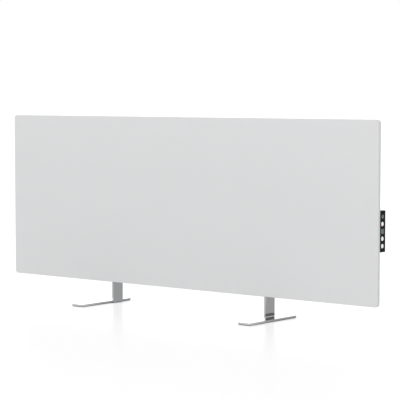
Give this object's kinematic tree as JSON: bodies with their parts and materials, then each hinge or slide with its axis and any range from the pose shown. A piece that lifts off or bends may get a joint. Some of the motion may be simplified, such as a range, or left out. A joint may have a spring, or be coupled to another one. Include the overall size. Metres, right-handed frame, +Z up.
{
  "type": "infrared panel heater",
  "caption": "Slim free-standing infrared heater: a flat pale glass front over a heating film, a pressed rear cover, folded steel feet and a control strip of sprung keys.",
  "frame": {"origin": "on the floor, under the middle of the feet", "axes": "+X to the right of someone facing the glass, along the panel; +Y from the glass towards the back; +Z up"},
  "size_m": [1, 0.159, 0.415],
  "materials": {
    "white_glass": "satin, painted white on its back",
    "pale_silicone": "matte",
    "painted_steel": "fine powder coat",
    "polished_steel": "polished along its length",
    "gloss_black": "gloss",
    "black_plastic": "fine moulded grain",
    "white_plastic": "satin",
    "display_tint": "clear front, green-grey behind",
    "smoke_tint": "smoked, clear front",
    "black_rubber": "matte",
    "carbon_film": "satin",
    "copper": "bright copper",
    "foil": "rolled",
    "mineral_wool": "pressed fibre",
    "brown_pvc": "smooth",
    "blue_pvc": "smooth",
    "green_pvc": "smooth",
    "circuit_green": "solder mask",
    "zinc_steel": "zinc plated",
    "brass": "turned",
    "blue_plastic": "moulded"
  },
  "bodies": {
    "heater": {"front_glass": "white_glass", "edge_seal": "pale_silicone", "heating_film": "carbon_film", "upper_bus_bar": "copper", "lower_bus_bar": "copper", "reflector_foil": "foil", "insulation_board": "mineral_wool", "rear_frame": "painted_steel", "rear_cover": "painted_steel", "left_hanger_bracket": "zinc_steel", "left_hanger_rivet_a": "zinc_steel", "left_hanger_rivet_b": "zinc_steel", "right_hanger_bracket": "zinc_steel", "right_hanger_rivet_a": "zinc_steel", "right_hanger_rivet_b": "zinc_steel", "left_foot": "polished_steel", "left_foot_pad_front": "black_rubber", "left_foot_pad_rear": "black_rubber", "right_foot": "polished_steel", "right_foot_pad_front": "black_rubber", "right_foot_pad_rear": "black_rubber", "left_foot_screw_lower": "zinc_steel", "left_foot_screw_upper": "zinc_steel", "right_foot_screw_lower": "zinc_steel", "right_foot_screw_upper": "zinc_steel", "control_housing": "black_plastic", "control_lid": "black_plastic", "lid_screw_lower_left": "zinc_steel", "lid_screw_lower_right": "zinc_steel", "lid_screw_upper_left": "zinc_steel", "lid_screw_upper_right": "zinc_steel", "control_fascia": "gloss_black", "display_window": "display_tint", "status_window": "smoke_tint", "upper_key_switch": "black_plastic", "middle_key_switch": "black_plastic", "lower_key_switch": "black_plastic", "key_board": "circuit_green", "display_module": "display_tint", "status_led": "smoke_tint", "power_board": "circuit_green", "relay": "blue_plastic", "tip_over_switch": "black_plastic", "power_supply": "black_plastic", "terminal_block": "white_plastic", "neutral_lead": "blue_pvc", "live_lead_lower": "brown_pvc", "live_lead_upper": "brown_pvc", "earth_lead": "green_pvc", "earth_stud": "brass", "thermal_cutout": "zinc_steel", "lead_grommet": "black_rubber", "cord_gland": "black_plastic"},
    "upper_button_body": {"upper_button": "white_plastic", "upper_switch_plunger": "black_plastic"},
    "middle_button_body": {"middle_button": "white_plastic", "middle_switch_plunger": "black_plastic"},
    "lower_button_body": {"lower_button": "white_plastic", "lower_switch_plunger": "black_plastic"}
  },
  "joints": [
    {"name": "upper_button_press", "type": "slide", "parent": "heater", "child": "upper_button_body", "axis": [-1, 0, 0], "range_m": [0, 0.0008], "stiffness_N_per_m": 1500, "springref_m": -0.0003},
    {"name": "middle_button_press", "type": "slide", "parent": "heater", "child": "middle_button_body", "axis": [-1, 0, 0], "range_m": [0, 0.0008], "stiffness_N_per_m": 1500, "springref_m": -0.0003},
    {"name": "lower_button_press", "type": "slide", "parent": "heater", "child": "lower_button_body", "axis": [-1, 0, 0], "range_m": [0, 0.0008], "stiffness_N_per_m": 1500, "springref_m": -0.0003}
  ]
}
